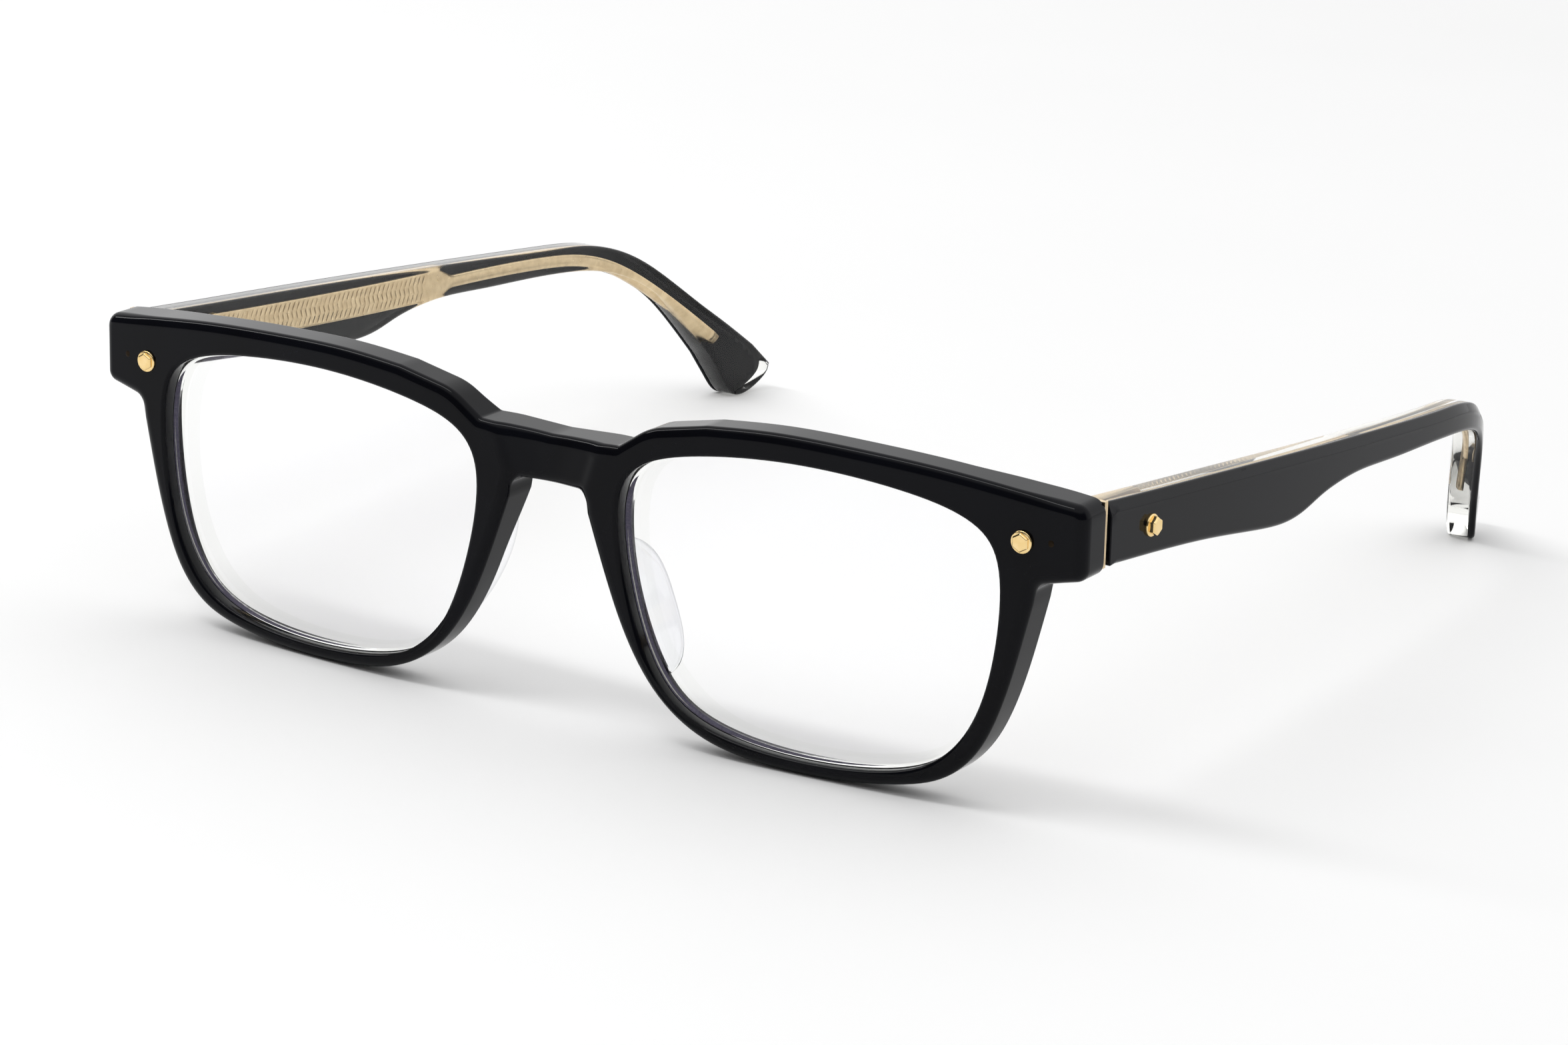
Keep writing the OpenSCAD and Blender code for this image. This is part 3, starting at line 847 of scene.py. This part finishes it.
def engraving(along, up, half):
    """Depth of a plain herringbone of short strokes, in three rows. Each stroke has its
    own depth, the same on every run."""
    pitch, row_h, deepest = 1.0, 1.16, 0.09
    row = np.floor(up / row_h + 0.5)
    across = up / row_h + 0.5 - row
    slant = np.where(row % 2 == 0, 1, -1)
    phase = along / pitch + 0.33 * row + slant * 0.5 * across
    stroke = np.clip(np.cos(2 * math.pi * phase), 0, 1) ** 1.5
    rows = np.clip(1.25 * np.sin(math.pi * across), 0, 1)
    edge = smooth((half - np.abs(up) - 0.12) / 0.15)
    ends = smooth((along - 14) / 0.5) * smooth((PLATE_END - 2.5 - along) / 0.5)
    chance = np.abs(np.sin((np.floor(phase + 0.5) * 12.99 + row * 78.23) * 43.76))
    return deepest * stroke * rows * edge * ends * (0.25 + 0.75 * chance)


def make_core(name, side, material):
    """The core, in rows across it: close together on the plate, so that they carry the
    engraving, and wide apart along the wire, which has a crowned face and a round end."""
    line = bend(CORE_LINE, 60)
    fine = spaced(line[line[:, 0] < PLATE_END + PLATE_TAPER], 0.14, closed=False)
    line = np.vstack([fine, line[line[:, 0] >= PLATE_END + PLATE_TAPER][::6]])
    along = np.gradient(line, axis=0)
    along /= np.linalg.norm(along, axis=1)[:, None]
    normal = np.stack([-along[:, 1], along[:, 0]], axis=1)
    middle = temple_depth(CORE_DEPTH)
    spread = np.linspace(-1, 1, 33)
    verts, rows = [], []
    for (y, z), n in zip(line, normal):
        half = core_half(y)
        end = math.sqrt(max(0.0, 1 - max(0.0, (y - WIRE_END) / WIRE_END_L) ** 2))
        up = spread * half * max(end, 0.1)
        crown = WIRE_CROWN * np.sqrt(np.clip(1 - spread ** 2, 0, 1)) - WIRE_DROP
        face = (CORE_T / 2 - 0.06 * (np.abs(spread) > 0.97) - engraving(y, up, half)
                + crown * core_taper(y))
        back = np.array([-CORE_T / 2] * 3)
        ups = np.concatenate([up, [up[-1], 0, up[0]]])
        depths = np.concatenate([face, back])
        ys, zs = y + n[0] * ups, z + n[1] * ups
        start = len(verts)
        xs = middle(ys, zs) - depths
        verts.extend((side * a, b, c) for a, b, c in zip(xs, ys, zs))
        rows.append(range(start, len(verts)))
    faces = [f for a, b in zip(rows, rows[1:]) for f in band(a, b)]
    faces += [tuple(rows[0]), tuple(rows[-1])]
    piece(f"core_{name}", verts, faces, f"temple_{name}", [material],
          [f"core_wire_{name}"])


# ---- CAD nodes that keep their shape ----

def dress(node, material, edge):
    """Gives a CAD node its material and breaks its edges."""
    obj = frame["nodes"][node]
    obj.data.materials.clear()
    obj.data.materials.append(material)
    bevel = obj.modifiers.new("edge", "BEVEL")
    bevel.width, bevel.segments, bevel.limit_method = edge, 2, "ANGLE"
    bevel.angle_limit = math.radians(40)


# ---- stage ----

def make_stage():
    """A plain floor, a hair below the glasses."""
    floor = bpy.data.meshes.new("floor")
    size = 12
    corners = [(-size, -size, 0), (size, -size, 0), (size, size, 0), (-size, size, 0)]
    floor.from_pydata(corners, [], [(0, 1, 2, 3)])
    floor.materials.append(floor_paper())
    obj = bpy.data.objects.new("floor", floor)
    bpy.context.scene.collection.objects.link(obj)
    obj.location.z = cad_box[0].z - 0.0001


def make_sky():
    """Soft white surroundings, dimmer low down in front of the glasses."""
    world = bpy.data.worlds.new("studio")
    world.use_nodes = True
    bpy.context.scene.world = world
    tree = world.node_tree
    where = tree.nodes.new("ShaderNodeTexCoord").outputs["Generated"]
    split = tree.nodes.new("ShaderNodeSeparateXYZ")
    tree.links.new(where, split.inputs[0])

    def rise(value, low, high):
        node = tree.nodes.new("ShaderNodeMapRange")
        node.interpolation_type = "SMOOTHSTEP"
        node.inputs["From Min"].default_value = low
        node.inputs["From Max"].default_value = high
        tree.links.new(value, node.inputs["Value"])
        return node.outputs[0]

    brightest = tree.nodes.new("ShaderNodeMath")
    brightest.operation = "MAXIMUM"
    tree.links.new(rise(split.outputs["Y"], -0.15, 0.3), brightest.inputs[0])
    tree.links.new(rise(split.outputs["Z"], 0.55, 0.85), brightest.inputs[1])
    level = tree.nodes.new("ShaderNodeMapRange")
    level.inputs["To Min"].default_value = 0.1
    level.inputs["To Max"].default_value = 1.22
    tree.links.new(brightest.outputs[0], level.inputs["Value"])
    background = tree.nodes["Background"]
    background.inputs["Color"].default_value = (1, 1, 1, 1)
    tree.links.new(level.outputs[0], background.inputs["Strength"])


def add_softbox(name, direction, along, distance, size, radiance):
    """Rectangular lamp that faces the middle of the glasses, its length along a line."""
    data = bpy.data.lights.new(name, "AREA")
    data.shape, data.size, data.size_y = "RECTANGLE", *size
    data.energy = radiance * math.pi * size[0] * size[1]
    lamp = bpy.data.objects.new(name, data)
    bpy.context.scene.collection.objects.link(lamp)
    away = Vector(direction).normalized()
    across = Vector(along).cross(away).normalized()
    turn = Matrix((across, away.cross(across), away)).transposed()
    lamp.matrix_world = Matrix.Translation(away * distance) @ turn.to_4x4()


def add_camera():
    """The camera, set out in the front's own axes."""
    azimuth, elevation, roll = (math.radians(a) for a in (32.195, 16.985, 1.469))
    stand_point = Vector((308.9, -437.4, 155.4))
    right = Vector((math.cos(azimuth), math.sin(azimuth), 0))
    ahead = Vector((-math.sin(azimuth) * math.cos(elevation),
                    math.cos(azimuth) * math.cos(elevation), -math.sin(elevation)))
    up = right.cross(ahead)
    tilt = Matrix.Rotation(-roll, 3, ahead)
    axes = Matrix((tilt @ right, tilt @ up, -ahead)).transposed()
    data = bpy.data.cameras.new("camera")
    data.lens, data.sensor_width = 108.67, 36
    data.clip_start, data.clip_end = 0.01, 50
    camera = bpy.data.objects.new("camera", data)
    bpy.context.scene.collection.objects.link(camera)
    camera.matrix_world = (Matrix.Translation(STAND @ stand_point)
                           @ (LEAN.to_3x3() @ axes).to_4x4())
    bpy.context.scene.camera = camera


# ---- making it all ----

add_camera()
make_stage()
make_sky()
add_softbox("edge_strip", (-0.5, -0.29, 0.81), (1, 0, 0), 0.9, (0.09, 0.9), 10.0)
bpy.context.scene.view_settings.view_transform = "Standard"

BLACK, CRYSTAL, PAD = black_acetate(), crystal_acetate(), pad_acetate()
CHAMPAGNE = metal("champagne_gold", (0.60, 0.46, 0.28), (0.74, 0.59, 0.38), (0.22, 0.38))
GOLD = metal("polished_gold", (0.86, 0.62, 0.27), (0.92, 0.70, 0.36), (0.08, 0.16))
DULL = metal("dark_brass", (0.018, 0.013, 0.008), (0.04, 0.028, 0.018), (0.5, 0.65))
HINGE_METAL = metal("hinge_metal", (0.62, 0.47, 0.27), (0.74, 0.58, 0.36), (0.25, 0.4), (1, 6, 1))
SCREW_METAL = metal("screw_metal", (0.58, 0.45, 0.28), (0.70, 0.56, 0.36), (0.2, 0.35), (1, 1, 8))
# the back bevel's dark purple-grey is a painted reflection of the black rim wall seen in the lens
# edge; the front bevel's pale cream is the ground glass's own colour
LENS = [lens_glass(), lens_bevel("lens_bevel_front", (0.70, 0.70, 0.65), (0.95, 0.95, 0.90)),
        lens_bevel("lens_bevel_back_painted_reflection", (0.13, 0.12, 0.19), (0.24, 0.22, 0.31))]

make_front(BLACK)
for name, side in SIDES.items():
    make_lens(name, side, LENS)
    make_pad(name, side, PAD)
    make_pin(name, side, DULL)
    make_temple(name, side, BLACK, CRYSTAL)
    make_core(name, side, CHAMPAGNE)
    make_rivet(f"stud_front_{name}", f"front_rivet_{name}", "front", FRONT_PROUD,
               front_place(side), GOLD)
    make_rivet(f"stud_temple_{name}", f"temple_rivet_{name}", f"temple_{name}", TEMPLE_PROUD,
               temple_place(side), GOLD)
    dress(f"end_plate_{name}", CHAMPAGNE, 0.00012)
    dress(f"hinge_front_leaf_{name}", HINGE_METAL, 0.00006)
    dress(f"hinge_temple_leaf_{name}", HINGE_METAL, 0.00006)
    dress(f"hinge_screw_{name}", SCREW_METAL, 0.00006)
